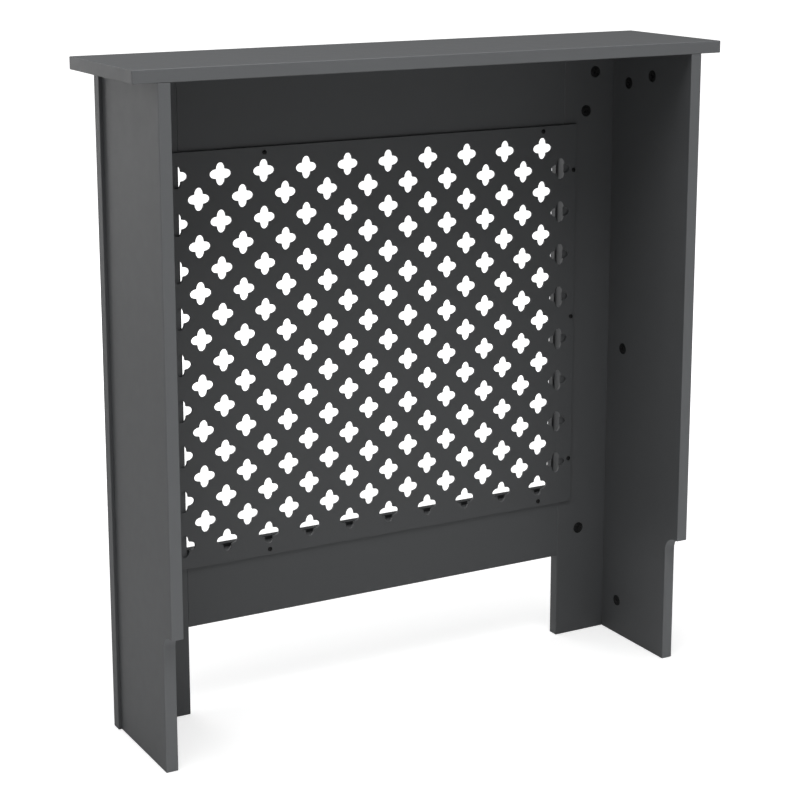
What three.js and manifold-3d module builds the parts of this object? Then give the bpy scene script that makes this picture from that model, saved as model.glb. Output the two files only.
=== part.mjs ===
// Radiator cover cabinet: a free-standing case of painted board with a pierced grille.
//
// Millimetres. +Z is up, the front faces -Y and the open back faces +Y. Left is -X and right
// is +X, as seen from the front. The origin is on the floor, under the middle of the top board.
//
// The case is a top board, two side panels, and a front frame of two stiles and two rails. Cam
// locks hold them together, each with a bolt screwed into the next board, and dowels line up
// the side panels and the rails. A mitred trim frames the window in front, and the grille is a
// thin sheet screwed behind the frame.

import * as THREE from 'three';
import { mergeVertices } from 'three/addons/utils/BufferGeometryUtils.js';
import Module from 'manifold-3d';

const wasm = await Module();
wasm.setup();

// ---------------------------------------------------------------- driving dimensions

// Case
const overallWidth = 780;
const overallDepth = 190;
const overallHeight = 815;
const boardThickness = 15;
const frontOverhang = 10; // top board, past the front frame
const endOverhang = 25; // top board, past each stile
const stileLip = 4; // stile, past the side panel's outer face

// Front frame
const stileWidth = 95;
const floorGap = 114; // floor to bottom rail
const bottomRailHeight = 90;
const topRailHeight = 114;

// Window trim on the front of the frame, in four mitred lengths. Its face is flat next to the
// window, steps down and then slopes to the outer edge.
const trimSideOverhang = 2; // past the stiles, into the window
const trimEndOverhang = 4; // past the rails
const trimWidth = 30;
const trimThickness = 10;
const trimFlat = 12; // flat part of the face
const trimStep = 3; // both across and down
const trimOuterHeight = 4;
const trimEase = 1.5; // chamfer along the two outside corners

// Notch at the foot of each side panel's back edge, which clears a skirting board
const skirtingDepth = 25;
const skirtingHeight = 170;
const notchRadius = 18;

// Grille panel
const grilleThickness = 3;
const grilleSideLap = 18; // over the stiles
const grilleEndLap = 14; // over the rails
const gridPitch = 40; // between neighbouring holes, along the diagonals
const gridInset = 14; // first column of holes, in from the right edge
const gridMargin = 14; // least distance from a hole to the top or bottom edge
const lobeMargin = 5; // a lobe that would come nearer to an end edge is left out
const holeSize = 28; // over two opposite lobes
const lobeWidth = 11.6;

// Cam locks and their bolts
const camDiameter = 14.6;
const camHeight = 12;
const camSetback = 34; // cam centre to the joint
const camCover = 4.2; // solid disc over the bolt's head
const crossLength = 7.5;
const crossWidth = 1.6;
const crossDepth = 1.6;
const boltDepth = 8; // bolt's axis, below the face that its cam is let into
const boltDiameter = 5;
const boltThreadDiameter = 6;
const boltThreadLength = 11;
const boltHeadDiameter = 6.8;
const boltHeadLength = 3.4;
const camEndDistance = 47; // outer cams of a side panel's front edge, from its ends
const topCamFromFront = 84; // side panel's cam under the top board, behind the stile
const bottomRailCamRise = 34; // cam beside a rail, above the rail's lower edge
const topRailCamRise = 30;

// Dowels
const dowelDiameter = 8;
const dowelLength = 30;
const dowelInFace = 10; // of a dowel's length, where it goes into a board's face
const dowelChamfer = 1;
const sideDowelFromEnds = 220; // in a side panel's front edge
const sideTopDowelFromBack = 35;
const railDowelRise = 70; // above the rail's lower edge

// Grille screws
const screwDiameter = 3;
const screwLength = 12;
const screwTip = 2.5;
const screwHeadDiameter = 5.6;
const screwHeadHeight = 1.8;
const screwHeadRim = 0.7; // straight part of the head's edge
const sideScrewInset = 4.5; // from the grille's left and right edges
const endScrewInset = 7; // from the grille's top and bottom edges
const sideScrewSpacing = 195;
const leftEndScrewFromEdge = 52;
const rightEndScrewFromEdge = 128;

// Clearances
const camClearance = 0.25; // radial, between a cam and its housing
const boltClearance = 0.3; // radial, round a bolt in its bore or its cam
const dowelClearance = 0.25; // radial
const screwClearance = 0.25; // radial
const boreEndClearance = 0.5; // past the end of whatever sits in a blind bore
const cutRun = 2; // how far a cutting tool runs past the face that it opens

// Facets
const camSides = 16;
const shaftSides = 8;
const notchSteps = 7;
const lobeAngles = [-35, 35]; // degrees round each lobe's half ellipse

// ---------------------------------------------------------------- derived places

const topZ = overallHeight - boardThickness;
const backY = overallDepth / 2;
const frameFrontY = frontOverhang - overallDepth / 2;
const stileBackY = frameFrontY + boardThickness;
const stileOuterX = overallWidth / 2 - endOverhang;
const stileInnerX = stileOuterX - stileWidth;
const sideOuterX = stileOuterX - stileLip;
const sideInnerX = sideOuterX - boardThickness;

const openingBottomZ = floorGap + bottomRailHeight;
const openingTopZ = topZ - topRailHeight;
const grilleHalfWidth = stileInnerX + grilleSideLap;
const grilleBottomZ = openingBottomZ - grilleEndLap;
const grilleTopZ = openingTopZ + grilleEndLap;
const grilleMidZ = (grilleBottomZ + grilleTopZ) / 2;
const grilleBackY = stileBackY + grilleThickness;

const trimHalfWidth = stileInnerX - trimSideOverhang;
const trimHalfHeight = (openingTopZ - openingBottomZ) / 2 - trimEndOverhang;
const trimMidZ = (openingTopZ + openingBottomZ) / 2;

const sides = [
  { name: 'left', sign: -1 },
  { name: 'right', sign: 1 },
];

const axisX = new THREE.Vector3(1, 0, 0);
const axisY = new THREE.Vector3(0, 1, 0);
const axisZ = new THREE.Vector3(0, 0, 1);

// ---------------------------------------------------------------- finishes

const finishes = {
  paintedBoard: { color: 0x56585a, roughness: 0.55, metalness: 0 },
  paintedSheet: { color: 0x4a4c4e, roughness: 0.5, metalness: 0 },
  blackSteel: { color: 0x17171a, roughness: 0.4, metalness: 0.6 },
  camMetal: { color: 0x1b1b1d, roughness: 0.45, metalness: 0.5 },
  zincSteel: { color: 0xb4b8bc, roughness: 0.35, metalness: 0.9 },
  beech: { color: 0xc9a26d, roughness: 0.75, metalness: 0 },
};

// ---------------------------------------------------------------- geometry helpers

// Leaves only position, shares the vertices and drops the triangles that have no area.
function welded(geometry) {
  const bare = geometry.clone();
  bare.deleteAttribute('normal');
  bare.deleteAttribute('uv');
  const merged = mergeVertices(bare);
  const index = merged.index.array;
  const kept = [];
  for (let i = 0; i < index.length; i += 3) {
    const [a, b, c] = [index[i], index[i + 1], index[i + 2]];
    if (a !== b && b !== c && c !== a) kept.push(a, b, c);
  }
  merged.setIndex(kept);
  return merged;
}

function toManifold(geometry) {
  const shared = welded(geometry);
  const vertProperties = new Float32Array(shared.attributes.position.array);
  const triVerts = new Uint32Array(shared.index.array);
  return new wasm.Manifold(new wasm.Mesh({ numProp: 3, vertProperties, triVerts }));
}

function fromManifold(solid) {
  const mesh = solid.getMesh();
  const geometry = new THREE.BufferGeometry();
  geometry.setAttribute('position', new THREE.BufferAttribute(mesh.vertProperties, 3));
  geometry.setIndex(new THREE.BufferAttribute(mesh.triVerts, 1));
  return geometry;
}

// Cuts every tool out of a body, and gives geometry back.
function cut(geometry, tools) {
  let solid = toManifold(geometry);
  for (const tool of tools) solid = solid.subtract(toManifold(tool));
  return fromManifold(solid);
}

// A box between two corners.
function box(low, high) {
  const size = high.map((value, i) => value - low[i]);
  const centre = high.map((value, i) => (value + low[i]) / 2);
  return new THREE.BoxGeometry(...size).translate(...centre);
}

// Turns a profile of [radius, height] pairs about its own axis. The profile starts and ends
// on the axis, and runs from its lowest point to its highest. The axis becomes local +Z.
function turned(profile, segments) {
  const points = profile.map(([radius, height]) => new THREE.Vector2(radius, height));
  return new THREE.LatheGeometry(points, segments).rotateX(Math.PI / 2);
}

function rod(radius, from, to, segments) {
  return turned([[0, from], [radius, from], [radius, to], [0, to]], segments);
}

// The turned frame of a fastener: local +Z lies along `along`, local +X along `across`.
function frameAt(origin, along, across) {
  const third = new THREE.Vector3().crossVectors(along, across);
  return new THREE.Matrix4().makeBasis(across, third, along).setPosition(origin);
}

function anyAcross(along) {
  return Math.abs(along.z) > 0.5 ? axisX : axisZ;
}

// ---------------------------------------------------------------- assembly bookkeeping

const cabinet = new THREE.Group();
const cutsOf = {}; // board name -> cutting tools, in the cabinet's frame

function addMesh(name, geometry, finish, parent = cabinet) {
  const material = new THREE.MeshStandardMaterial({ ...finishes[finish], flatShading: true });
  const mesh = new THREE.Mesh(geometry, material);
  mesh.name = name;
  parent.add(mesh);
  return mesh;
}

function addPlaced(name, geometry, finish, frame) {
  const holder = new THREE.Group();
  holder.applyMatrix4(frame);
  cabinet.add(holder);
  return addMesh(name, geometry, finish, holder);
}

function boreInto(board, tool, frame) {
  (cutsOf[board] ??= []).push(tool.clone().applyMatrix4(frame));
}

// ---------------------------------------------------------------- cam lock and bolt

// Cam lock. Local +Z points out of the board's face, the cover is flush with it, and the bolt
// comes in from local +X. The pocket for the bolt's head and the slot for its shank are open
// below, so that the cam drops over the head.
function camGeometry() {
  const radius = camDiameter / 2;
  const headRoom = boltHeadDiameter / 2 + boltClearance;
  const headSpan = boltHeadLength / 2 + boltClearance;
  const shankRoom = boltDiameter / 2 + boltClearance;
  const below = -camHeight - cutRun;
  const pocket = box([-headSpan, -headRoom, below], [headSpan, headRoom, -camCover]);
  const slot = box([0, -shankRoom, below], [radius + cutRun, shankRoom, -camCover]);
  const half = { long: crossLength / 2, narrow: crossWidth / 2 };
  const crossA = box([-half.long, -half.narrow, -crossDepth], [half.long, half.narrow, cutRun]);
  const crossB = box([-half.narrow, -half.long, -crossDepth], [half.narrow, half.long, cutRun]);
  return cut(rod(radius, -camHeight, 0, camSides), [pocket, slot, crossA, crossB]);
}

// Cam bolt. Local origin on the joint, +Z towards the cam: the thread goes the other way.
function boltGeometry() {
  const thread = boltThreadDiameter / 2;
  const shank = boltDiameter / 2;
  const head = boltHeadDiameter / 2;
  const headTop = camSetback + boltHeadLength / 2;
  const headFoot = camSetback - boltHeadLength / 2;
  return welded(turned([
    [0, -boltThreadLength],
    [thread, -boltThreadLength],
    [thread, 0],
    [shank, 0],
    [shank, headFoot],
    [head, headFoot],
    [head, headTop],
    [0, headTop],
  ], shaftSides));
}

// One cam joint: `at` is the cam's centre on the host board's face, `out` the face's normal
// and `toward` the way to the mating board.
function addCamJoint({ name, at, out, toward, host, mate }) {
  const housingDepth = camHeight + boreEndClearance;
  const housing = rod(camDiameter / 2 + camClearance, -housingDepth, cutRun, camSides);
  const camFrame = frameAt(at, out, toward);
  boreInto(host, housing, camFrame);
  addPlaced(`cam_${name}`, camGeometry(), 'camMetal', camFrame);

  const joint = at.clone().addScaledVector(out, -boltDepth).addScaledVector(toward, camSetback);
  const boltFrame = frameAt(joint, toward.clone().negate(), out);
  const boreRadius = boltDiameter / 2 + boltClearance;
  boreInto(host, rod(boreRadius, -cutRun, camSetback, shaftSides), boltFrame);
  const pilotRadius = boltThreadDiameter / 2 + boltClearance;
  const pilotEnd = -boltThreadLength - boreEndClearance;
  boreInto(mate, rod(pilotRadius, pilotEnd, cutRun, shaftSides), boltFrame);
  addPlaced(`bolt_${name}`, boltGeometry(), 'zincSteel', boltFrame);
}

// ---------------------------------------------------------------- dowel

// `at` is on the joint, `along` points into the host board, and `inMate` is the length that
// goes the other way, into the mating board.
function addDowel({ name, at, along, inMate, host, mate }) {
  const radius = dowelDiameter / 2;
  const inHost = dowelLength - inMate;
  const frame = frameAt(at, along, anyAcross(along));
  const geometry = welded(turned([
    [0, -inMate],
    [radius - dowelChamfer, -inMate],
    [radius, dowelChamfer - inMate],
    [radius, inHost - dowelChamfer],
    [radius - dowelChamfer, inHost],
    [0, inHost],
  ], shaftSides));
  const bore = radius + dowelClearance;
  boreInto(host, rod(bore, -cutRun, inHost + boreEndClearance, shaftSides), frame);
  boreInto(mate, rod(bore, -inMate - boreEndClearance, cutRun, shaftSides), frame);
  addPlaced(`dowel_${name}`, geometry, 'beech', frame);
}

// ---------------------------------------------------------------- grille screw

// Local origin on the grille's back face, +Z out of it: the head stands on the sheet.
function screwGeometry() {
  const shank = screwDiameter / 2;
  const head = screwHeadDiameter / 2;
  return welded(turned([
    [0, -screwLength],
    [shank, screwTip - screwLength],
    [shank, 0],
    [head, 0],
    [head, screwHeadRim],
    [head / 2, screwHeadHeight],
    [0, screwHeadHeight],
  ], shaftSides));
}

function addGrilleScrew(name, x, z, mate) {
  const frame = frameAt(new THREE.Vector3(x, grilleBackY, z), axisY, axisX);
  const radius = screwDiameter / 2 + screwClearance;
  const bore = rod(radius, -screwLength - boreEndClearance, cutRun, shaftSides);
  boreInto('grille_panel', bore, frame);
  boreInto(mate, bore, frame);
  addPlaced(`grille_screw_${name}`, screwGeometry(), 'blackSteel', frame);
}

// ---------------------------------------------------------------- boards

// Side panel's outline in Y and Z, with the notch for the skirting board. The notch's inner
// corner is rounded.
function sidePanelShape() {
  const notchY = backY - skirtingDepth;
  const outline = [[stileBackY, 0], [notchY, 0]];
  for (let step = 0; step <= notchSteps; step += 1) {
    const angle = (Math.PI / 2) * (step / notchSteps);
    outline.push([
      notchY + notchRadius * (1 - Math.cos(angle)),
      skirtingHeight - notchRadius * (1 - Math.sin(angle)),
    ]);
  }
  outline.push([backY, skirtingHeight], [backY, topZ], [stileBackY, topZ]);
  return new THREE.Shape(outline.map(([y, z]) => new THREE.Vector2(y, z)));
}

// Extrudes a shape drawn in Y and Z from x = 0 to `thickness`.
function extrudedAlongX(shape, thickness) {
  const geometry = new THREE.ExtrudeGeometry(shape, { depth: thickness, bevelEnabled: false });
  return geometry.applyMatrix4(new THREE.Matrix4().makeBasis(axisY, axisZ, axisX));
}

// Four-lobed hole round (x, z): a square between the four necks, with half an ellipse standing
// on each side of it. A lobe that would come too near to an end edge of the sheet is left out.
function holePath(x, z) {
  const neck = lobeWidth / 2;
  const reach = holeSize / 2 - neck;
  const points = [];
  for (let quarter = 0; quarter < 4; quarter += 1) {
    const turn = new THREE.Matrix3().makeRotation((quarter * Math.PI) / 2);
    const place = (along, across) => {
      const point = new THREE.Vector2(along, across).applyMatrix3(turn);
      points.push(point.add(new THREE.Vector2(x, z)));
    };
    place(neck, -neck);
    const tipX = x + (holeSize / 2) * Math.round(Math.cos((quarter * Math.PI) / 2));
    if (Math.abs(tipX) > grilleHalfWidth - lobeMargin) continue;
    for (const degrees of lobeAngles) {
      const angle = THREE.MathUtils.degToRad(degrees);
      place(neck + reach * Math.cos(angle), neck * Math.sin(angle));
    }
  }
  return new THREE.Path(points);
}

// The sheet with its holes: two square grids of holes, one set between the other's holes.
function grilleShape() {
  const shape = new THREE.Shape([
    new THREE.Vector2(-grilleHalfWidth, grilleBottomZ),
    new THREE.Vector2(grilleHalfWidth, grilleBottomZ),
    new THREE.Vector2(grilleHalfWidth, grilleTopZ),
    new THREE.Vector2(-grilleHalfWidth, grilleTopZ),
  ]);
  const half = gridPitch / Math.SQRT2;
  const rowReach = (grilleTopZ - grilleBottomZ) / 2 - gridMargin - holeSize / 2;
  const rows = Math.floor(rowReach / half);
  const firstX = grilleHalfWidth - gridInset;
  const lastX = lobeMargin + lobeWidth / 2 - grilleHalfWidth;
  for (let column = 0; firstX - column * half >= lastX; column += 1) {
    for (let row = -rows; row <= rows; row += 1) {
      if ((column + row) % 2 !== 0) continue;
      shape.holes.push(holePath(firstX - column * half, grilleMidZ + row * half));
    }
  }
  return shape;
}

// Extrudes a shape drawn in X and Z from y = `frontY`, towards the back.
function extrudedAlongY(shape, thickness, frontY) {
  const geometry = new THREE.ExtrudeGeometry(shape, { depth: thickness, bevelEnabled: false });
  const backwards = axisY.clone().negate();
  const basis = new THREE.Matrix4().makeBasis(axisX, axisZ, backwards);
  return geometry.applyMatrix4(basis.setPosition(0, frontY + thickness, 0));
}

// One length of the window trim. Its profile is drawn as [outwards, forwards] from the inner
// edge at the frame's face, and both of its ends are mitred. `outwards` points away from the
// window's middle, and `halfLength` is half of the inner edge.
function trimGeometry(outwards, toEdge, halfLength) {
  const profile = [
    [0, 0],
    [trimWidth, 0],
    [trimWidth, trimOuterHeight],
    [trimWidth - trimEase, trimOuterHeight + trimEase],
    [trimFlat + trimStep, trimThickness - trimStep],
    [trimFlat, trimThickness],
    [trimEase, trimThickness],
    [0, trimThickness - trimEase],
  ];
  const shape = new THREE.Shape(profile.map(([out, forward]) => new THREE.Vector2(out, forward)));
  const geometry = new THREE.ExtrudeGeometry(shape, { depth: 1, bevelEnabled: false });
  const places = geometry.attributes.position;
  for (let i = 0; i < places.count; i += 1) {
    const end = places.getZ(i) > 0 ? 1 : -1;
    places.setZ(i, end * (halfLength + places.getX(i)));
  }
  const forwards = axisY.clone().negate();
  const along = new THREE.Vector3().crossVectors(outwards, forwards);
  const middle = new THREE.Vector3(0, frameFrontY, trimMidZ).addScaledVector(outwards, toEdge);
  const frame = new THREE.Matrix4().makeBasis(outwards, forwards, along).setPosition(middle);
  return geometry.applyMatrix4(frame);
}

function addBoard(name, geometry, finish = 'paintedBoard') {
  const tools = cutsOf[name] ?? [];
  addMesh(name, tools.length > 0 ? cut(geometry, tools) : welded(geometry), finish);
}

// ---------------------------------------------------------------- joints between the boards

for (const { name, sign } of sides) {
  const inward = axisX.clone().multiplyScalar(-sign);
  const outward = axisX.clone().multiplyScalar(sign);
  const forward = axisY.clone().negate();
  const sidePanel = `side_panel_${name}`;
  const stile = `stile_${name}`;
  const sideMidX = sign * (sideInnerX + sideOuterX) / 2;
  const stileMidY = (frameFrontY + stileBackY) / 2;

  // Side panel to stile: three cams behind the panel's front edge, and two dowels.
  const frontCams = { low: camEndDistance, mid: topZ / 2, high: topZ - camEndDistance };
  for (const [level, z] of Object.entries(frontCams)) {
    const at = new THREE.Vector3(sign * sideInnerX, stileBackY + camSetback, z);
    addCamJoint({
      name: `side_${name}_${level}`, at, out: inward, toward: forward, host: sidePanel, mate: stile,
    });
  }
  const frontDowels = { low: sideDowelFromEnds, high: topZ - sideDowelFromEnds };
  for (const [level, z] of Object.entries(frontDowels)) {
    addDowel({
      name: `side_${name}_${level}`,
      at: new THREE.Vector3(sideMidX, stileBackY, z),
      along: axisY,
      inMate: dowelInFace,
      host: sidePanel,
      mate: stile,
    });
  }

  // Side panel and stile to the top board: a cam each, and a dowel in the side panel.
  addCamJoint({
    name: `side_${name}_top`,
    at: new THREE.Vector3(sign * sideInnerX, stileBackY + topCamFromFront, topZ - camSetback),
    out: inward,
    toward: axisZ,
    host: sidePanel,
    mate: 'top_board',
  });
  addDowel({
    name: `side_${name}_top`,
    at: new THREE.Vector3(sideMidX, backY - sideTopDowelFromBack, topZ),
    along: axisZ.clone().negate(),
    inMate: dowelInFace,
    host: sidePanel,
    mate: 'top_board',
  });
  addCamJoint({
    name: `stile_${name}_top`,
    at: new THREE.Vector3(sign * (stileInnerX + stileOuterX) / 2, stileBackY, topZ - camSetback),
    out: axisY,
    toward: axisZ,
    host: stile,
    mate: 'top_board',
  });

  // Stile to the rails: a cam and a dowel each.
  const rails = {
    bottom_rail: { lowerEdgeZ: floorGap, camRise: bottomRailCamRise },
    top_rail: { lowerEdgeZ: openingTopZ, camRise: topRailCamRise },
  };
  for (const [rail, { lowerEdgeZ, camRise }] of Object.entries(rails)) {
    const camX = sign * (stileInnerX + camSetback);
    addCamJoint({
      name: `${rail}_${name}`,
      at: new THREE.Vector3(camX, stileBackY, lowerEdgeZ + camRise),
      out: axisY,
      toward: inward,
      host: stile,
      mate: rail,
    });
    addDowel({
      name: `${rail}_${name}`,
      at: new THREE.Vector3(sign * stileInnerX, stileMidY, lowerEdgeZ + railDowelRise),
      along: outward,
      inMate: dowelLength / 2,
      host: stile,
      mate: rail,
    });
  }

  // Grille screws down this side of the sheet.
  const sideScrews = {
    low: grilleMidZ - sideScrewSpacing,
    mid: grilleMidZ,
    high: grilleMidZ + sideScrewSpacing,
  };
  for (const [level, z] of Object.entries(sideScrews)) {
    addGrilleScrew(`${name}_${level}`, sign * (grilleHalfWidth - sideScrewInset), z, stile);
  }
}

// Grille screws along the sheet's top and bottom edges. They aren't spaced evenly.
const endScrews = {
  left: leftEndScrewFromEdge - grilleHalfWidth,
  right: grilleHalfWidth - rightEndScrewFromEdge,
};
for (const [name, x] of Object.entries(endScrews)) {
  addGrilleScrew(`top_${name}`, x, grilleTopZ - endScrewInset, 'top_rail');
  addGrilleScrew(`bottom_${name}`, x, grilleBottomZ + endScrewInset, 'bottom_rail');
}

// ---------------------------------------------------------------- the boards, with their bores

addBoard('top_board', box(
  [-overallWidth / 2, -backY, topZ],
  [overallWidth / 2, backY, overallHeight],
));

for (const { name, sign } of sides) {
  const panelX = sign > 0 ? sideInnerX : -sideOuterX;
  const sidePanel = extrudedAlongX(sidePanelShape(), boardThickness).translate(panelX, 0, 0);
  addBoard(`side_panel_${name}`, sidePanel);

  const stileX = [sign * stileInnerX, sign * stileOuterX];
  addBoard(`stile_${name}`, box(
    [Math.min(...stileX), frameFrontY, 0],
    [Math.max(...stileX), stileBackY, topZ],
  ));
}

addBoard('bottom_rail', box(
  [-stileInnerX, frameFrontY, floorGap],
  [stileInnerX, stileBackY, openingBottomZ],
));
addBoard('top_rail', box(
  [-stileInnerX, frameFrontY, openingTopZ],
  [stileInnerX, stileBackY, topZ],
));

const trims = {
  left: [axisX.clone().negate(), trimHalfWidth, trimHalfHeight],
  right: [axisX, trimHalfWidth, trimHalfHeight],
  bottom: [axisZ.clone().negate(), trimHalfHeight, trimHalfWidth],
  top: [axisZ, trimHalfHeight, trimHalfWidth],
};
for (const [name, [outwards, toEdge, halfLength]] of Object.entries(trims)) {
  addBoard(`window_trim_${name}`, trimGeometry(outwards, toEdge, halfLength));
}

const grilleSheet = extrudedAlongY(grilleShape(), grilleThickness, stileBackY);
addBoard('grille_panel', grilleSheet, 'paintedSheet');

export default cabinet;
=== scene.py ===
"""Radiator cover cabinet in dark grey painted board, seen from behind and a little above.

Lengths are in metres, in the cabinet's own frame: +Z is up, the front faces -Y and the open
back faces +Y. Places come from the frame's own boxes; sizes that a box can't give, such as
the pattern of the grille, are named below as real sizes.

Every board is a plate: an outline with eased edges, cut through by holes or sunk by
recesses. Cam locks and screws are profiles turned about their axis, with a cross pressed
into the head. The window trim is a profile drawn between two mitres. The bolts and dowels
are hidden in the boards, and keep the frame's own solids.
"""
import math

import bpy
import numpy as np
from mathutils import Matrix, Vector
from mathutils.geometry import tessellate_polygon


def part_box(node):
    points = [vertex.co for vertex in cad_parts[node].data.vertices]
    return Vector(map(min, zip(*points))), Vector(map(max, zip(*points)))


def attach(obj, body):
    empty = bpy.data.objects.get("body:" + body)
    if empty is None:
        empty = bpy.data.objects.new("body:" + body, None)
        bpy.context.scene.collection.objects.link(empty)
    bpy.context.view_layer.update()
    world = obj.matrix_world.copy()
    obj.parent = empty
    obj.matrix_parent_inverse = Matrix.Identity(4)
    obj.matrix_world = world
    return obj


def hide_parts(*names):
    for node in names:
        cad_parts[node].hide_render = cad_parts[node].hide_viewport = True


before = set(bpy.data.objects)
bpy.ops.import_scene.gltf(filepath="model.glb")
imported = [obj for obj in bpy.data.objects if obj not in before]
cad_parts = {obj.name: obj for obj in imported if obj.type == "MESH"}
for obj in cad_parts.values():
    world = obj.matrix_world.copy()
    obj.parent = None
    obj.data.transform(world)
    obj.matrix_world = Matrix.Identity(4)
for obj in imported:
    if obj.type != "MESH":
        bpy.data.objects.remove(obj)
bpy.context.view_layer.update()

MM = 0.001
BODY = "root"
SIDES = {"left": -1, "right": 1}
TRIM_WAYS = {"left": (-1, 0, 0), "right": (1, 0, 0), "bottom": (0, 0, -1), "top": (0, 0, 1)}

# ---------------------------------------------------------------- sizes, in millimetres

BOARD_EASE = 0.9  # radius of a board's eased edge
CORNER_ROUND = 1.1  # radius at the corners of a board's outline
CORNER_STEPS = 3
BUTT_EASE = 0.25  # radius of a rail's edges, which butt against the stiles
BUTT_CORNER = 0.4  # radius at the corners of its outline
SHEET_EASE = 0.35
SHEET_CORNER = 0.6
EASE_STEPS = 3

TRIM_FLAT = 12  # flat part of the window trim's face, from its inner edge
TRIM_STEP = 3  # both across and down
TRIM_OUTER_HEIGHT = 5.3  # at its outer edge, before that corner is rounded
TRIM_ROUND = 1.5  # reach of the curves that soften its profile
TRIM_ROUND_STEPS = 5

SKIRTING_DEPTH = 25
SKIRTING_HEIGHT = 170
NOTCH_RADIUS = 18
NOTCH_STEPS = 12

GRID_PITCH = 40  # between neighbouring holes, along the diagonals
GRID_INSET = 14  # first column of holes, in from the sheet's right edge
GRID_MARGIN = 14  # least distance from a hole to the sheet's top or bottom edge
LOBE_MARGIN = 5  # a lobe that would come nearer to an end edge is left out
HOLE_SIZE = 28  # over two opposite lobes
LOBE_WIDTH = 11.6
LOBE_STEPS = 7

HOUSING_GAP = 0.25  # round a cam lock
HOUSING_DEPTH = 12.5
HOUSING_EASE = 0.25
HOUSING_STEPS = 48

CAM_STEPS = 72
CAM_RINGS = 33
CAM_RIM = 0.6  # width of the rim, where the head's rings end
CAM_CHAMFER = 0.25
CAM_CHAMFER_TOP = 0.08  # below the head's face
CAM_CHAMFER_FOOT = 0.45
CAM_GROOVE_RADIUS = 5.6
CAM_GROOVE_DEPTH = 0.35
CAM_GROOVE_WIDTH = 0.28  # from its middle to where its depth has fallen to 1/e
CAM_CROSS = {"arm": 3.7, "width": 1.7, "depth": 1.6, "soft": 0.3}
CROSS_RISE = 0.45  # share of a cross recess's depth that is gone at the end of its arms

SCREW_STEPS = 40
SCREW_RINGS = 15
SCREW_LENGTH = 12
SCREW_TIP = 2.5
SCREW_TIP_LEAST = 0.04  # share of the radius left at the very tip
SCREW_HEAD_HEIGHT = 1.8
SCREW_DOME = 1.0  # drop of the dome from its middle to the head's edge
SCREW_DOME_POWER = 2.4
SCREW_DOME_REACH = 0.93  # share of the head's radius that the dome covers
SCREW_RIM_TOP = 0.55  # height of the head's rim
SCREW_RIM_EASE = 0.12
SCREW_CORE = 1.22  # radius between the threads
SCREW_THREAD = 0.26  # height of the threads
SCREW_THREADS = 9
SCREW_SHANK_ROWS = 46
SCREW_CROSS = {"arm": 1.65, "width": 0.7, "depth": 1.1, "soft": 0.22}

SMOOTH_BELOW = 32  # degrees between faces of a turned piece, past which its edge is sharp
TINY = 1e-12  # keeps a face without area from dividing by zero

# ---------------------------------------------------------------- finishes

PEEL_DEPTH = 0.05  # millimetres, of the paint's and the wood's surface
CAST_DEPTH = 0.03  # millimetres, of a metal's grain
WEAR_WIDTH = 1.6  # millimetres, of the worn line along an edge
WEAR_SAMPLES = 6
WEAR_START = 0.35  # noise below this leaves the paint whole
WEAR_GAIN = 6.0
WEAR_AMOUNT = 0.35
BROAD_SHARE = 0.65  # of the broad mottle in the paint's colour
CLOUD_SHARE = 0.35  # of the cloudy mottle in its colour and its height
PAINT_SPECULAR = 0.42
GREY_COOL = 0.035  # share by which the greys are bluer and less red than neutral
BEECH_LIGHT = (0.62, 0.42, 0.22, 1.0)
BEECH_DARK = (0.36, 0.21, 0.1, 1.0)
WHITE = (1.0, 1.0, 1.0, 1.0)

# ---------------------------------------------------------------- camera and light

# In metres and degrees. The camera stands behind the cabinet, to its right.
CAMERA_PLACE = (1.17618, 2.07938, 1.01946)
CAMERA_AZIMUTH = 150.77
CAMERA_PITCH = 12.06  # downwards
CAMERA_LENS = 90.17
CAMERA_SENSOR = 36.0
CAMERA_SHIFT_Y = -0.125

WORLD_LOW = 0.06  # level near the horizon
WORLD_HIGH = 0.3  # level overhead
WORLD_RAMP = (0.15, 0.6)  # heights on the unit sphere between which one becomes the other

FLOOR_COLOUR = (0.85, 0.85, 0.85, 1.0)
FLOOR_ROUGHNESS = 0.9
FLOOR_SPECULAR = 0.1
FLOOR_REACH = 30.0
FLOOR_RAMP = (0.5, 2.2)  # distances from the middle between which the lift to white grows
FLOOR_LIFT = (0.55, 1.0)

# Name, place, target, width and height, and watts.
SOFTBOXES = [
    ("overhead", (0.3, 0.6, 3.2), (0.0, 0.0, 0.5), (2.4, 2.4), 75.0),
    ("in_front", (0.8, -3.1, 1.0), (0.0, 0.0, 0.4), (1.8, 1.8), 32.0),
]

# ---------------------------------------------------------------- outlines


def rectangle(low, high, corner=CORNER_ROUND):
    """Rectangle between two corners, anticlockwise, each corner a quarter circle."""
    centres = [(high[0], low[1]), (high[0], high[1]), (low[0], high[1]), (low[0], low[1])]
    inward = [(-1, 1), (-1, -1), (1, -1), (1, 1)]
    points = []
    for quarter, (centre, way) in enumerate(zip(centres, inward)):
        turn = np.linspace(0, math.pi / 2, CORNER_STEPS + 1)
        angle = math.radians(-90 + 90 * quarter) + turn
        middle = np.array(centre) + corner * np.array(way)
        points.append(middle + corner * np.stack([np.cos(angle), np.sin(angle)], 1))
    return np.concatenate(points)


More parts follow.
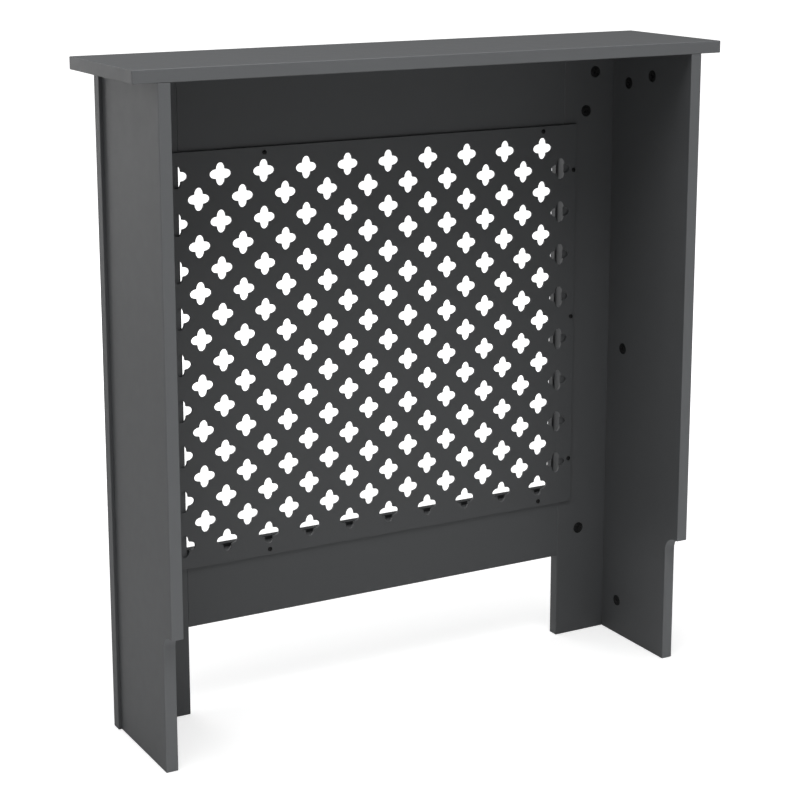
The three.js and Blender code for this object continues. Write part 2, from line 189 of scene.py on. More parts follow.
def side_panel_outline(low, high):
    """Side panel in Y and Z: a rectangle less the skirting notch at the foot of its back
    edge. The notch's inner corner is a quarter circle, and the other corners are rounded."""
    notch_y = high[0] - SKIRTING_DEPTH
    sharp = [
        (low[0], low[1]),
        (notch_y, low[1]),
        (notch_y, low[1] + SKIRTING_HEIGHT),
        (high[0], low[1] + SKIRTING_HEIGHT),
        (high[0], high[1]),
        (low[0], high[1]),
    ]
    radii = [CORNER_ROUND] * len(sharp)
    steps = [CORNER_STEPS] * len(sharp)
    radii[2] = NOTCH_RADIUS
    steps[2] = NOTCH_STEPS
    return rounded(sharp, radii, steps)


def rounded(sharp, radii, steps):
    """Closed outline of right-angled corners, each replaced by a quarter circle of its radius:
    the arc's centre is one radius along both sides from the corner."""
    corners = np.array(sharp, float)
    points = []
    for i, (radius, count) in enumerate(zip(radii, steps)):
        here = corners[i]
        back = corners[i - 1] - here
        ahead = corners[(i + 1) % len(corners)] - here
        back = back / np.linalg.norm(back)
        ahead = ahead / np.linalg.norm(ahead)
        turn = np.linspace(0, math.pi / 2, count + 1)[:, None]
        points.append(here + radius * (back * (1 - np.sin(turn)) + ahead * (1 - np.cos(turn))))
    return np.concatenate(points)


def softened(sharp, reaches):
    """Closed outline whose corners are replaced by curves, (1-t)^2 A + 2t(1-t) P + t^2 B. Each
    starts and ends its own reach away from the corner P; a reach of 0 keeps the corner."""
    corners = np.array(sharp, float)
    t = np.linspace(0, 1, TRIM_ROUND_STEPS + 1)[:, None]
    points = []
    for i, reach in enumerate(reaches):
        here = corners[i]
        if reach == 0:
            points.append(here[None])
            continue
        back = corners[i - 1] - here
        ahead = corners[(i + 1) % len(corners)] - here
        a = here + back * reach / np.linalg.norm(back)
        b = here + ahead * reach / np.linalg.norm(ahead)
        points.append((1 - t) ** 2 * a + 2 * t * (1 - t) * here + t ** 2 * b)
    return np.concatenate(points)


def circle(centre, radius, steps):
    """Circle, clockwise, so that the material is on its left as it is round a hole."""
    turn = -np.linspace(0, 2 * math.pi, steps, endpoint=False)
    return np.array(centre) + radius * np.stack([np.cos(turn), np.sin(turn)], 1)


def four_lobed_hole(centre, half_width):
    """Four-lobed hole, clockwise: a square between the four necks, with half an ellipse
    standing on each side of it. A lobe too near to an end edge of the sheet is left out."""
    neck = LOBE_WIDTH / 2
    reach = HOLE_SIZE / 2 - neck
    points = []
    for quarter in range(4):
        turn = quarter * math.pi / 2
        along = np.array([math.cos(turn), math.sin(turn)])
        across = np.array([-along[1], along[0]])
        points_sideways = quarter % 2 == 0
        tip = centre[0] + HOLE_SIZE / 2 * along[0]
        if points_sideways and abs(tip) > half_width - LOBE_MARGIN:
            round_lobe = np.array([-math.pi / 2])
        else:
            round_lobe = np.linspace(-math.pi / 2, math.pi / 2, LOBE_STEPS + 1)[:-1]
        out = neck + reach * np.cos(round_lobe)
        side = neck * np.sin(round_lobe)
        points.append(out[:, None] * along + side[:, None] * across)
    return np.array(centre) + np.concatenate(points)[::-1]


# ---------------------------------------------------------------- surfaces


def inset(loop, distance):
    """Moves a closed loop into the material on its left by a distance. Each point moves along
    the mitre of its two sides, n1 + n2 over 1 + n1.n2, so that straight sides stay parallel."""
    ahead = np.roll(loop, -1, 0) - loop
    ahead = ahead / np.linalg.norm(ahead, axis=1, keepdims=True)
    left = np.stack([-ahead[:, 1], ahead[:, 0]], 1)
    before = np.roll(left, 1, 0)
    mitre = (left + before) / (1 + (left * before).sum(1, keepdims=True))
    return loop + distance * mitre


def edge_rows(loop, thickness, ease):
    """Rows of a plate's wall from its front face to its back face, as (loop, depth) pairs. Over
    each rounded edge the inset is ease (1 - sin a) and the depth ease (1 - cos a)."""
    angles = np.linspace(0, math.pi / 2, EASE_STEPS + 1)
    front = [(inset(loop, ease * (1 - math.sin(a))), ease * (1 - math.cos(a))) for a in angles]
    back = [(flat, thickness - depth) for flat, depth in reversed(front)]
    return front + back


def strip_faces(rows, count, start):
    """Quads between neighbouring rows of a closed grid of points."""
    i = np.arange(count)
    j = (i + 1) % count
    faces = []
    for row in range(rows - 1):
        low = start + row * count
        high = low + count
        faces.append(np.stack([low + i, high + i, high + j, low + j], 1))
    return np.concatenate(faces)


def plate_mesh(outline, thickness, ease, holes=(), sunk=()):
    """Points and faces of a plate, and the number of faces on the rim, which come first. Its
    front face is at depth 0 and its back face at its thickness. `holes` go right through.
    `sunk` are (loop, depth, ease) recesses in the front."""
    points = []
    faces = []
    front_loops = []
    back_loops = []
    total = 0

    def add_rows(rows):
        """Adds one wall, and gives the number of the first point of its first and last row."""
        nonlocal total
        first = total
        for flat, depth in rows:
            points.append(np.column_stack([flat, np.full(len(flat), depth)]))
        count = len(rows[0][0])
        faces.extend(strip_faces(len(rows), count, first).tolist())
        total += count * len(rows)
        return first, total - count

    for loop in [outline, *holes]:
        rows = edge_rows(loop, thickness, ease)
        first, last = add_rows(rows)
        front_loops.append((rows[0][0], first))
        back_loops.append((rows[-1][0], last))
        if loop is outline:
            rim_faces = len(faces)
    for loop, depth, small_ease in sunk:
        rows = edge_rows(loop, depth, small_ease)[: EASE_STEPS + 1] + [(loop, depth)]
        first, last = add_rows(rows)
        front_loops.append((rows[0][0], first))
        faces.append(list(range(last, last + len(loop)))[::-1])
    faces.extend(cap_faces(front_loops, False))
    faces.extend(cap_faces(back_loops, True))
    return np.concatenate(points), faces, rim_faces


def cap_faces(loops, flipped):
    """Triangles over a flat face with holes, wound one way or the other."""
    lines = [[Vector((x, y, 0.0)) for x, y in flat] for flat, _ in loops]
    numbers = np.concatenate([first + np.arange(len(flat)) for flat, first in loops])
    flat_points = np.concatenate([flat for flat, _ in loops])
    triangles = np.array(tessellate_polygon(lines))
    a, b, c = (flat_points[triangles[:, k]] for k in range(3))
    turn = (b - a)[:, 0] * (c - a)[:, 1] - (b - a)[:, 1] * (c - a)[:, 0]
    if (turn.sum() < 0) != flipped:
        triangles = triangles[:, ::-1]
    return numbers[triangles].tolist()


def turned_mesh(profile, segments, press):
    """Surface of revolution about the local depth axis. `profile` is rows of radius, height
    and 1 on the head or 0 below it, from near the middle of the head outwards and down to the
    tip. `press` gives how far each point of the head is pressed in, from its place on it."""
    angle = np.linspace(0, 2 * math.pi, segments, endpoint=False)
    radius = profile[:, 0][:, None]
    across = radius * np.cos(angle)
    along = radius * np.sin(angle)
    height = np.broadcast_to(profile[:, 1][:, None], across.shape).copy()
    head = profile[:, 2].astype(bool)
    height[head] -= press(across[head], along[head])
    grid = np.stack([across, along, height], 2)
    top = np.array([[0.0, 0.0, profile[0, 1] - press(np.zeros(1), np.zeros(1))[0]]])
    tip = np.array([[0.0, 0.0, profile[-1, 1]]])
    points = np.concatenate([top, grid.reshape(-1, 3), tip])
    faces = strip_faces(len(profile), segments, 1).tolist()
    i = np.arange(segments)
    j = (i + 1) % segments
    last = 1 + (len(profile) - 1) * segments
    faces += np.stack([np.zeros_like(i), 1 + i, 1 + j], 1).tolist()
    faces += np.stack([np.full_like(i, len(points) - 1), last + j, last + i], 1).tolist()
    return points, faces


def cross_press(arm, width, depth, soft):
    """Cross recess: two crossing bars, each 1 inside and falling to 0 over a soft edge, with
    the floor rising towards the ends of the arms as a driver's tip leaves it."""

    def bar(u, v):
        """1 inside one bar and 0 outside it."""
        inside = np.clip((width / 2 - np.abs(v)) / soft + 0.5, 0, 1)
        return inside * np.clip((arm - np.abs(u)) / soft + 0.5, 0, 1)

    def press(x, y):
        """How far the head is pressed in at each place on it."""
        cross = np.maximum(bar(x, y), bar(y, x))
        slope = 1 - CROSS_RISE * np.clip(np.hypot(x, y) / arm, 0, 1)
        return depth * cross * slope

    return press


# ---------------------------------------------------------------- objects


def volume_of(points, faces):
    """Six times the volume inside a closed surface, negative if it is wound inwards. Each face
    is a fan of triangles from its first corner, and each triangle adds a . (b x c)."""
    fans = [(face[0], face[k], face[k + 1]) for face in faces for k in range(1, len(face) - 1)]
    a, b, c = points[np.array(fans)].transpose(1, 0, 2)
    return (a * np.cross(b, c)).sum()


def edges_facing_back(points, faces, rim_faces):
    """For each face, how far it faces back if it is one of the first `rim_faces`, and else 0.
    Those are quads, and a quad's normal is the cross product of its diagonals."""
    quads = points[np.array(faces[:rim_faces])]
    normal = np.cross(quads[:, 2] - quads[:, 0], quads[:, 3] - quads[:, 1])
    facing = normal[:, 1] / np.maximum(np.linalg.norm(normal, axis=1), TINY)
    values = np.zeros(len(faces), np.float32)
    # How far each edge faces back sets how much painted highlight it gets.
    values[:rim_faces] = np.clip(facing, 0, 1)
    return values


def make_piece(name, points, faces, axes, material, nodes, rim_faces=0, smooth=False):
    """Places local millimetre points with three axes and an origin, turns the faces outwards
    and rides the piece on the cabinet in place of its nodes. The first `rim_faces` faces are
    the board's edges; an attribute tells the paint how far each faces back, and the paint makes
    them paler by that much, a painted highlight standing in for the light that falls on them."""
    origin, u, v, w = (np.array(axis, float) for axis in axes)
    world = origin + (points[:, :1] * u + points[:, 1:2] * v + points[:, 2:] * w) * MM
    if volume_of(world, faces) < 0:
        faces = [face[::-1] for face in faces]
    mesh = bpy.data.meshes.new(name)
    mesh.from_pydata(world.tolist(), [], faces)
    mesh.materials.append(material)
    # The rim attribute carries the painted highlight on edges that face back.
    if rim_faces:
        rim = mesh.attributes.new("rim", "FLOAT", "FACE")
        rim.data.foreach_set("value", edges_facing_back(world, faces, rim_faces))
    if smooth:
        mesh.shade_smooth()
        mesh.set_sharp_from_angle(angle=math.radians(SMOOTH_BELOW))
    piece = bpy.data.objects.new(name, mesh)
    bpy.context.scene.collection.objects.link(piece)
    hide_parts(*nodes)
    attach(piece, BODY)


def box_mm(node):
    """Corners of a node's box, in millimetres."""
    low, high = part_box(node)
    return np.array(low) / MM, np.array(high) / MM


def nodes_named(*prefixes):
    """The nodes whose names start in one of these ways, in the order of their names."""
    return sorted(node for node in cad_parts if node.startswith(prefixes))


def cam_recesses(prefixes, axes):
    """The housings of the cam locks whose names start so, in a board's own two axes."""
    recesses = []
    for node in nodes_named(*prefixes):
        low, high = box_mm(node)
        middle = (low + high) / 2
        radius = (high - low)[axes[0]] / 2 + HOUSING_GAP
        loop = circle(middle[list(axes)], radius, HOUSING_STEPS)
        recesses.append((loop, HOUSING_DEPTH, HOUSING_EASE))
    return recesses


def add_board(
    node, axes, front_at_high, material, outline=None, prefixes=(), holes=(),
    ease=BOARD_EASE,
):
    """One board. `axes` are the two axes of its face, as 0, 1 or 2. Its front face, the one
    with the recesses, is at the high or the low end of the third axis. The boards of the
    front frame have no edge that faces back."""
    low, high = box_mm(node)
    depth_axis = 3 - sum(axes)
    u, v, w = np.eye(3)[axes[0]], np.eye(3)[axes[1]], np.eye(3)[depth_axis]
    if outline is None:
        outline = rectangle(low[list(axes)], high[list(axes)])
    thickness = (high - low)[depth_axis]
    front = high[depth_axis] if front_at_high else low[depth_axis]
    inward = -w if front_at_high else w
    sunk = cam_recesses(prefixes, axes)
    points, faces, rim_faces = plate_mesh(outline, thickness, ease, holes, sunk)
    if depth_axis == 1:
        rim_faces = 0
    place = (w * front * MM, u, v, inward)
    name = f"{node}_painted"
    make_piece(name, points, faces, place, material, [node], rim_faces)


def add_rail(node, material):
    """A rail of the front frame. Its corners and edges are sharper than other boards', so that
    its ends close against the stiles."""
    low, high = box_mm(node)
    outline = rectangle(low[[0, 2]], high[[0, 2]], BUTT_CORNER)
    add_board(node, (0, 2), True, material, outline=outline, ease=BUTT_EASE)


def add_trim(node, outwards, material):
    """One mitred length of the window trim: a profile across the width, drawn along the length
    to the mitre at either end. `outwards` points away from the window's middle."""
    low, high = box_mm(node)
    outwards = np.array(outwards, float)
    across = int(np.argmax(np.abs(outwards)))
    along = 2 - across
    width, thickness = (high - low)[across], (high - low)[1]
    sharp = [
        (0, 0),
        (width, 0),
        (width, TRIM_OUTER_HEIGHT),
        (TRIM_FLAT + TRIM_STEP, thickness - TRIM_STEP),
        (TRIM_FLAT, thickness),
        (0, thickness),
    ]
    profile = softened(sharp, [0, 0, TRIM_ROUND, TRIM_ROUND, TRIM_ROUND / 2, TRIM_ROUND])
    reach = (high - low)[along] / 2 - width + profile[:, 0]
    points = np.concatenate([np.column_stack([profile, end * reach]) for end in (-1, 1)])
    count = len(profile)
    caps = [list(range(count)), list(range(count, 2 * count))[::-1]]
    origin = (low + high) / 2
    origin[across] = low[across] if outwards[across] > 0 else high[across]
    origin[1] = high[1]
    place = (origin * MM, outwards, (0.0, -1.0, 0.0), np.eye(3)[along])
    faces = strip_faces(2, count, 0).tolist() + caps
    make_piece(f"{node}_painted", points, faces, place, material, [node])


def add_grille(material):
    """The pierced sheet: two square grids of four-lobed holes, one between the other's. The
    columns start at the right edge and end where a hole would cross the left one."""
    low, high = box_mm("grille_panel")
    half = GRID_PITCH / math.sqrt(2)
    half_width = high[0]
    middle = (low[2] + high[2]) / 2
    rows = int((high[2] - middle - GRID_MARGIN - HOLE_SIZE / 2) // half)
    first = half_width - GRID_INSET
    last = LOBE_MARGIN + LOBE_WIDTH / 2 - half_width
    holes = []
    for column in range(int((first - last) // half) + 1):
        for row in range(-rows, rows + 1):
            if (column + row) % 2 == 0:
                centre = (first - column * half, middle + row * half)
                holes.append(four_lobed_hole(centre, half_width))
    outline = rectangle(low[[0, 2]], high[[0, 2]], SHEET_CORNER)
    add_board(
        "grille_panel", (0, 2), True, material, outline=outline, holes=holes,
        ease=SHEET_EASE,
    )


def cross_turn(node, least, spread, kinds):
    """Angle by which a fastener's cross is turned, one of several that its name picks."""
    pick = sum(map(ord, node)) % kinds
    return math.radians(least + spread * pick / kinds)


def add_cam(node, material):
    """Cam lock: a disc with a chamfered rim and a ring groove round its cross recess. At x
    groove widths from its middle, the groove's depth has fallen to exp(-x^2) of its whole."""
    low, high = box_mm(node)
    size = high - low
    depth_axis = int(np.argmin(size))
    radius = size.max() / 2
    length = size[depth_axis]
    middle = (low + high) / 2
    outwards = 1.0 if depth_axis == 1 else -math.copysign(1.0, middle[0])
    face = high[depth_axis] if outwards > 0 else low[depth_axis]
    rings = np.linspace(0, radius - CAM_RIM, CAM_RINGS + 1)[1:]
    across_groove = (rings - CAM_GROOVE_RADIUS) / CAM_GROOVE_WIDTH
    groove = CAM_GROOVE_DEPTH * np.exp(-across_groove ** 2)
    head = np.column_stack([rings, -groove, np.ones_like(rings)])
    rest = np.array([
        [radius - CAM_CHAMFER, -CAM_CHAMFER_TOP, 0],
        [radius, -CAM_CHAMFER_FOOT, 0],
        [radius, -length, 0],
    ])
    profile = np.concatenate([head, rest])
    points, faces = turned_mesh(profile, CAM_STEPS, cross_press(**CAM_CROSS))
    along = np.eye(3)[depth_axis] * outwards
    up = np.array([0.0, 0.0, 1.0])
    sideways = np.cross(up, along)
    tilt = cross_turn(node, least=18, spread=47, kinds=7)
    u = sideways * math.cos(tilt) + up * math.sin(tilt)
    v = np.cross(along, u)
    origin = middle.copy()
    origin[depth_axis] = face
    place = (origin * MM, u, v, along)
    name = f"{node}_detail"
    make_piece(name, points, faces, place, material, [node], smooth=True)


def add_screw(node, material):
    """Grille screw: a domed head with a cross recess, ridged threads and a tip. The dome drops
    by a power of the radius, and the ridges are (1/2 + 1/2 cos)^2 along the shank."""
    low, high = box_mm(node)
    head_radius = (high - low)[0] / 2
    rings = np.linspace(0, head_radius * SCREW_DOME_REACH, SCREW_RINGS + 1)[1:]
    dome = SCREW_HEAD_HEIGHT - SCREW_DOME * (rings / head_radius) ** SCREW_DOME_POWER
    head = np.column_stack([rings, dome, np.ones_like(rings)])
    rim = np.array([
        [head_radius, SCREW_RIM_TOP, 0],
        [head_radius, SCREW_RIM_EASE, 0],
        [head_radius - SCREW_RIM_EASE, 0, 0],
    ])
    down = np.linspace(0, 1, SCREW_SHANK_ROWS)
    taper = np.clip((1 - down) * SCREW_LENGTH / SCREW_TIP, SCREW_TIP_LEAST, 1)
    ridge = (0.5 + 0.5 * np.cos(down * 2 * math.pi * SCREW_THREADS)) ** 2
    thread = SCREW_CORE + SCREW_THREAD * ridge
    shank = np.column_stack([thread * taper, -down * SCREW_LENGTH, np.zeros_like(down)])
    profile = np.concatenate([head, rim, shank])
    points, faces = turned_mesh(profile, SCREW_STEPS, cross_press(**SCREW_CROSS))
    middle = (low + high) / 2
    origin = np.array([middle[0], high[1] - SCREW_HEAD_HEIGHT, middle[2]]) * MM
    tilt = cross_turn(node, least=13, spread=60, kinds=9)
    u = np.array([math.cos(tilt), 0.0, math.sin(tilt)])
    w = np.array([0.0, 1.0, 0.0])
    place = (origin, u, np.cross(w, u), w)
    name = f"{node}_detail"
    make_piece(name, points, faces, place, material, [node], smooth=True)


# ---------------------------------------------------------------- shader groups


def new_group(name, inputs, outputs):
    """A shader group with its sockets. An input is a name, a kind and a usual value."""
    group = bpy.data.node_groups.new(name, "ShaderNodeTree")
    for label, kind, value in inputs:
        socket = group.interface.new_socket(label, in_out="INPUT", socket_type=kind)
        socket.default_value = value
    for label, kind in outputs:
        group.interface.new_socket(label, in_out="OUTPUT", socket_type=kind)
    source = group.nodes.new("NodeGroupInput")
    target = group.nodes.new("NodeGroupOutput")
    return group, source, target


def noise(tree, scale, detail, roughness):
    """Noise over the piece's own place. The scale, a number or a socket, is in features per
    metre."""
    node = tree.nodes.new("ShaderNodeTexNoise")
    node.inputs["Detail"].default_value = detail
    node.inputs["Roughness"].default_value = roughness
    if isinstance(scale, (int, float)):
        node.inputs["Scale"].default_value = scale
    else:
        tree.links.new(scale, node.inputs["Scale"])
    place = tree.nodes.new("ShaderNodeTexCoord")
    tree.links.new(place.outputs["Object"], node.inputs["Vector"])
    return node.outputs["Fac"]


def calculate(tree, operation, a, b, clamp=False):
    """One sum on two values, each a number or a socket."""
    node = tree.nodes.new("ShaderNodeMath")
    node.operation = operation
    node.use_clamp = clamp
    for value, socket in zip((a, b), node.inputs):
        if isinstance(value, (int, float)):
            socket.default_value = value
        else:
            tree.links.new(value, socket)
    return node.outputs[0]


def raised(tree, value, gain, base):
    """A varying value times a gain, plus a base."""
    return calculate(tree, "ADD", calculate(tree, "MULTIPLY", value, gain), base)


def scaled_colour(tree, colour, scale):
    """A colour, as a tuple or a socket, times a factor that changes over the surface."""
    node = tree.nodes.new("ShaderNodeVectorMath")
    node.operation = "SCALE"
    if isinstance(colour, tuple):
        node.inputs[0].default_value = colour[:3]
    else:
        tree.links.new(colour, node.inputs[0])
    tree.links.new(scale, node.inputs["Scale"])
    return node.outputs[0]


def paint_group():
    """Sprayed paint on board. A broad and a cloudy mottle move the colour together, the clouds
    alone move the roughness, and fine orange peel with some of the clouds gives the height."""
    group, source, target = new_group(
        "sprayed_paint",
        [
            ("Colour", "NodeSocketColor", (0.1, 0.1, 0.1, 1.0)),
            ("Mottle", "NodeSocketFloat", 0.08),
            ("Peel Scale", "NodeSocketFloat", 900.0),
            ("Roughness", "NodeSocketFloat", 0.55),
            ("Roughness Spread", "NodeSocketFloat", 0.12),
        ],
        [("Colour", "NodeSocketColor"), ("Roughness", "NodeSocketFloat"),
         ("Height", "NodeSocketFloat")],
    )
    broad = noise(group, scale=9.0, detail=4.0, roughness=0.55)
    fine = noise(group, scale=source.outputs["Peel Scale"], detail=2.0, roughness=0.4)
    cloud = noise(group, scale=60.0, detail=3.0, roughness=0.6)
    some_broad = calculate(group, "MULTIPLY", broad, BROAD_SHARE)
    some_cloud = calculate(group, "MULTIPLY", cloud, CLOUD_SHARE)

    both = calculate(group, "ADD", some_broad, some_cloud)
    off_middle = calculate(group, "SUBTRACT", both, 0.5)
    swing = calculate(group, "MULTIPLY", off_middle, source.outputs["Mottle"])
    scale = calculate(group, "ADD", swing, 1.0)
    shade = scaled_colour(group, source.outputs["Colour"], scale)
    group.links.new(shade, target.inputs["Colour"])

    cloud_off_middle = calculate(group, "SUBTRACT", cloud, 0.5)
    spread = calculate(
        group, "MULTIPLY", cloud_off_middle, source.outputs["Roughness Spread"],
    )
    rough = calculate(group, "ADD", spread, source.outputs["Roughness"], clamp=True)
    group.links.new(rough, target.inputs["Roughness"])

    height = calculate(group, "ADD", fine, some_cloud)
    group.links.new(height, target.inputs["Height"])
    return group


def edge_group():
    """Wear on edges: where the normal taken round the nearby edge departs from the surface's
    own normal, broken up by noise."""
    group, source, target = new_group(
        "edge_wear",
        [("Amount", "NodeSocketFloat", 0.5), ("Break Scale", "NodeSocketFloat", 220.0)],
        [("Mask", "NodeSocketFloat")],
    )
    bevel = group.nodes.new("ShaderNodeBevel")
    bevel.samples = WEAR_SAMPLES
    bevel.inputs["Radius"].default_value = WEAR_WIDTH * MM
    surface = group.nodes.new("ShaderNodeNewGeometry")
    dot = group.nodes.new("ShaderNodeVectorMath")
    dot.operation = "DOT_PRODUCT"
    group.links.new(bevel.outputs["Normal"], dot.inputs[0])
    group.links.new(surface.outputs["Normal"], dot.inputs[1])
    away = calculate(group, "SUBTRACT", 1.0, dot.outputs["Value"], clamp=True)

    patchy = noise(group, scale=source.outputs["Break Scale"], detail=3.0, roughness=0.6)
    patches = calculate(group, "SUBTRACT", patchy, WEAR_START, clamp=True)
    ragged = calculate(group, "MULTIPLY", patches, WEAR_GAIN)
    worn = calculate(group, "MULTIPLY", away, ragged)
    mask = calculate(group, "MULTIPLY", worn, source.outputs["Amount"], clamp=True)
    group.links.new(mask, target.inputs["Mask"])
    return group


# ---------------------------------------------------------------- materials


def new_material(name):
    """A material, its nodes and its shader."""
    material = bpy.data.materials.new(name)
    material.use_nodes = True
    tree = material.node_tree
    return material, tree, tree.nodes["Principled BSDF"]


def place_group(tree, group, **values):
    """Puts a shader group into a material, with this material's own values."""
    node = tree.nodes.new("ShaderNodeGroup")
    node.node_tree = group
    for label, value in values.items():
        node.inputs[label.replace("_", " ")].default_value = value
    return node


def mix_colour(tree, mask, a, b):
    """Colour a where the mask is 0 and b where it is 1. Each is a colour or a socket."""
    node = tree.nodes.new("ShaderNodeMix")
    node.data_type = "RGBA"
    tree.links.new(mask, node.inputs["Factor"])
    # Its inputs 6 and 7 and its output 2 are the ones for colours.
    for value, socket in ((a, node.inputs[6]), (b, node.inputs[7])):
        if isinstance(value, tuple):
            socket.default_value = value
        else:
            tree.links.new(value, socket)
    return node.outputs[2]


def bump(tree, shader, height, depth):
    """Feeds a height, which goes from 0 to a depth in millimetres, to the shader's normal."""
    node = tree.nodes.new("ShaderNodeBump")
    node.inputs["Distance"].default_value = depth * MM
    tree.links.new(height, node.inputs["Height"])
    tree.links.new(node.outputs["Normal"], shader.inputs["Normal"])


def grey(value):
    """A grey from its screen value out of 255, a little cooler than neutral. The level of
    light comes from the usual curve of a screen, ((v + 0.055) / 1.055)^2.4."""
    level = ((value / 255 + 0.055) / 1.055) ** 2.4
    return (level * (1 - GREY_COOL), level, level * (1 + GREY_COOL), 1.0)


def painted(name, paint, wear, colour, back_edge_highlight, worn, **values):
    """Painted board or sheet: sprayed paint, paler on the edges that face back, a painted
    highlight standing in for the light that falls on them, with a lighter line where edges are
    worn and a fine bump."""
    material, tree, shader = new_material(name)
    rim = tree.nodes.new("ShaderNodeAttribute")
    rim.attribute_name = "rim"
    coat = place_group(tree, paint, **values)
    # Edges that face back get the paler colour: a painted highlight, standing in for light.
    tree.links.new(mix_colour(tree, rim.outputs["Fac"], colour, back_edge_highlight), coat.inputs["Colour"])
    edges = place_group(tree, wear, Amount=WEAR_AMOUNT)
    colour_out = mix_colour(tree, edges.outputs["Mask"], coat.outputs["Colour"], worn)
    tree.links.new(colour_out, shader.inputs["Base Color"])
    tree.links.new(coat.outputs["Roughness"], shader.inputs["Roughness"])
    bump(tree, shader, coat.outputs["Height"], PEEL_DEPTH)
    shader.inputs["Specular IOR Level"].default_value = PAINT_SPECULAR
    return material


def metal(name, colour, roughness, metallic, grain):
    """Cast or plated metal, with a fine grain in its colour, its roughness and its bump."""
    material, tree, shader = new_material(name)
    speckle = noise(tree, scale=grain, detail=4.0, roughness=0.6)
    tint = raised(tree, speckle, gain=0.5, base=0.75)
    tree.links.new(scaled_colour(tree, colour, tint), shader.inputs["Base Color"])
    rough = raised(tree, speckle, gain=0.25, base=roughness - 0.12)
    tree.links.new(rough, shader.inputs["Roughness"])
    shader.inputs["Metallic"].default_value = metallic
    bump(tree, shader, speckle, CAST_DEPTH)
    return material


def beech_wood():
    """Raw beech: a light and a dark tone, mixed by a fine grain."""
    material, tree, shader = new_material("beech")
    grain = noise(tree, scale=500.0, detail=5.0, roughness=0.6)
    colour = mix_colour(tree, grain, BEECH_LIGHT, BEECH_DARK)
    tree.links.new(colour, shader.inputs["Base Color"])
    tree.links.new(raised(tree, grain, gain=0.2, base=0.6), shader.inputs["Roughness"])
    bump(tree, shader, grain, PEEL_DEPTH)
    return material


# ---------------------------------------------------------------- the cabinet


def build_cabinet():
    """Every piece that shows, and the finishes of those that are hidden in the boards."""
    paint = paint_group()
    wear = edge_group()
    # The paler edge colours below are painted highlights on the edges that face back.
    board_paint = painted(
        "painted_board", paint, wear,
        colour=grey(88), back_edge_highlight=grey(121), worn=grey(138), Roughness=0.55,
    )
    sheet_paint = painted(
        "painted_sheet", paint, wear,
        colour=grey(86), back_edge_highlight=grey(100), worn=grey(118), Roughness=0.5, Peel_Scale=1300.0,
    )
    cam_black = metal("cam_metal", grey(16), roughness=0.5, metallic=0.25, grain=1500.0)
    screw_black = metal("black_steel", grey(14), roughness=0.42, metallic=0.3, grain=1800.0)
    zinc = metal("zinc_steel", grey(205), roughness=0.35, metallic=0.9, grain=900.0)
    hidden = {"bolt": zinc, "dowel": beech_wood()}

    add_board("top_board", (0, 1), True, board_paint)
    add_rail("top_rail", board_paint)
    add_rail("bottom_rail", board_paint)
    for way, outwards in TRIM_WAYS.items():
        add_trim(f"window_trim_{way}", outwards, board_paint)
    for side, sign in SIDES.items():
        add_board(
            f"stile_{side}", (0, 2), True, board_paint,
            prefixes=(f"cam_stile_{side}", f"cam_bottom_rail_{side}", f"cam_top_rail_{side}"),
        )
        low, high = box_mm(f"side_panel_{side}")
        add_board(
            f"side_panel_{side}", (1, 2), sign < 0, board_paint,
            outline=side_panel_outline(low[1:], high[1:]), prefixes=(f"cam_side_{side}",),
        )
    add_grille(sheet_paint)
    for node in nodes_named("cam_"):
        add_cam(node, cam_black)
    for node in nodes_named("grille_screw_"):
        add_screw(node, screw_black)
    for node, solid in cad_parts.items():
        finish = hidden.get(node.split("_")[0])
        if finish:
            solid.data.materials.clear()
            solid.data.materials.append(finish)


# ---------------------------------------------------------------- floor, light and camera


def soft_ramp(tree, value, span, levels):
    """From one level to another, smoothly, as the value goes over a span."""
    ramp = tree.nodes.new("ShaderNodeMapRange")
    ramp.interpolation_type = "SMOOTHSTEP"
    ramp.inputs["From Min"].default_value = span[0]
    ramp.inputs["From Max"].default_value = span[1]
    ramp.inputs["To Min"].default_value = levels[0]
    ramp.inputs["To Max"].default_value = levels[1]
    tree.links.new(value, ramp.inputs["Value"])
    return ramp.outputs[0]


def add_floor():
    """A pale floor that shows white to the camera and keeps the cabinet's shadow: the lift to
    white is least near the cabinet and full from about two metres away."""
    material, tree, shader = new_material("floor")
    shader.inputs["Base Color"].default_value = FLOOR_COLOUR
    shader.inputs["Roughness"].default_value = FLOOR_ROUGHNESS
    shader.inputs["Specular IOR Level"].default_value = FLOOR_SPECULAR
    place = tree.nodes.new("ShaderNodeTexCoord")
    distance = tree.nodes.new("ShaderNodeVectorMath")
    distance.operation = "LENGTH"
    tree.links.new(place.outputs["Object"], distance.inputs[0])
    ramp = soft_ramp(tree, distance.outputs["Value"], FLOOR_RAMP, FLOOR_LIFT)
    rays = tree.nodes.new("ShaderNodeLightPath")
    lift = calculate(tree, "MULTIPLY", rays.outputs["Is Camera Ray"], ramp)
    shader.inputs["Emission Color"].default_value = WHITE
    tree.links.new(lift, shader.inputs["Emission Strength"])
    mesh = bpy.data.meshes.new("floor")
    ways = [(-1, -1), (1, -1), (1, 1), (-1, 1)]
    corners = [(FLOOR_REACH * x, FLOOR_REACH * y, 0.0) for x, y in ways]
    mesh.from_pydata(corners, [], [(0, 1, 2, 3)])
    mesh.materials.append(material)
    floor = bpy.data.objects.new("floor", mesh)
    bpy.context.scene.collection.objects.link(floor)


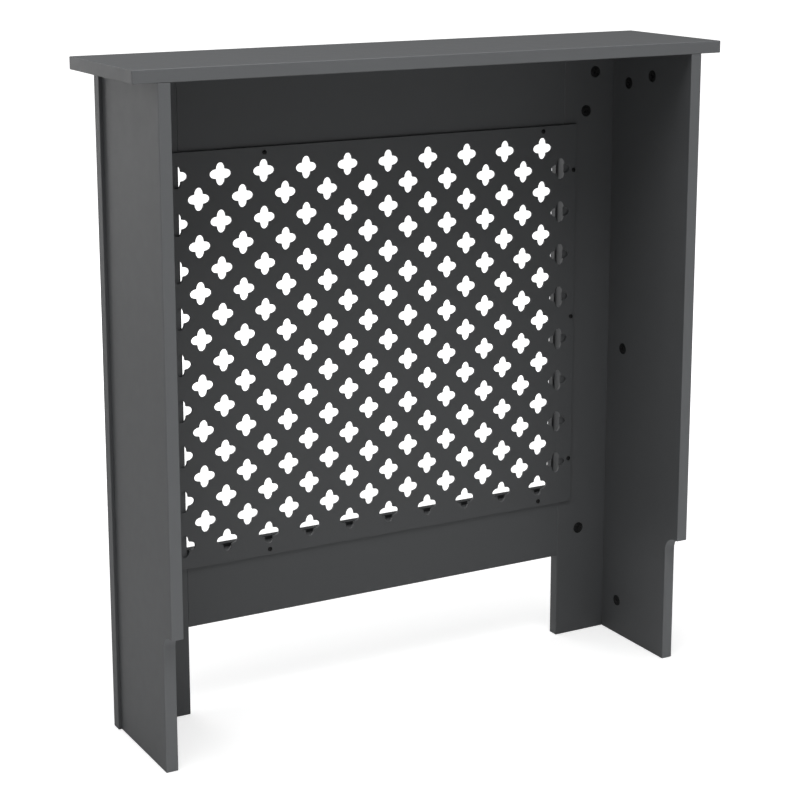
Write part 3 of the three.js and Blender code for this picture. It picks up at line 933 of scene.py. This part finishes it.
def add_world():
    """Studio walls: light of one level near the horizon and another overhead. The camera sees
    plain white."""
    world = bpy.data.worlds.new("studio")
    bpy.context.scene.world = world
    world.use_nodes = True
    tree = world.node_tree
    background = tree.nodes["Background"]
    background.inputs["Color"].default_value = WHITE
    way = tree.nodes.new("ShaderNodeTexCoord")
    parts = tree.nodes.new("ShaderNodeSeparateXYZ")
    tree.links.new(way.outputs["Generated"], parts.inputs[0])
    ramp = soft_ramp(tree, parts.outputs["Z"], WORLD_RAMP, (WORLD_LOW, WORLD_HIGH))
    rays = tree.nodes.new("ShaderNodeLightPath")
    seen = calculate(tree, "MAXIMUM", rays.outputs["Is Camera Ray"], ramp)
    tree.links.new(seen, background.inputs["Strength"])


def add_softbox(name, place, target, size, power):
    """An oblong lamp at a place, turned to face a target."""
    light = bpy.data.lights.new(name, "AREA")
    light.shape = "RECTANGLE"
    light.size, light.size_y = size
    light.energy = power
    lamp = bpy.data.objects.new(name, light)
    lamp.location = place
    lamp.rotation_mode = "QUATERNION"
    way = Vector(target) - Vector(place)
    lamp.rotation_quaternion = way.to_track_quat("-Z", "Y")
    bpy.context.scene.collection.objects.link(lamp)


def add_camera():
    """Behind the cabinet, to its right and a little above, with the lens shifted so that the
    uprights stay nearly parallel, as they are in the photograph."""
    azimuth = math.radians(CAMERA_AZIMUTH)
    pitch = math.radians(CAMERA_PITCH)
    data = bpy.data.cameras.new("camera")
    data.sensor_width = CAMERA_SENSOR
    data.lens = CAMERA_LENS
    data.shift_y = CAMERA_SHIFT_Y
    camera = bpy.data.objects.new("camera", data)
    camera.location = CAMERA_PLACE
    back = Vector((
        math.sin(azimuth) * math.cos(pitch),
        -math.cos(azimuth) * math.cos(pitch),
        math.sin(pitch),
    ))
    camera.rotation_mode = "QUATERNION"
    camera.rotation_quaternion = (-back).to_track_quat("-Z", "Y")
    bpy.context.scene.collection.objects.link(camera)
    bpy.context.scene.camera = camera


add_camera()
build_cabinet()
add_floor()
add_world()
for softbox in SOFTBOXES:
    add_softbox(*softbox)

bpy.context.scene.view_settings.view_transform = "Standard"

bpy.context.view_layer.update()
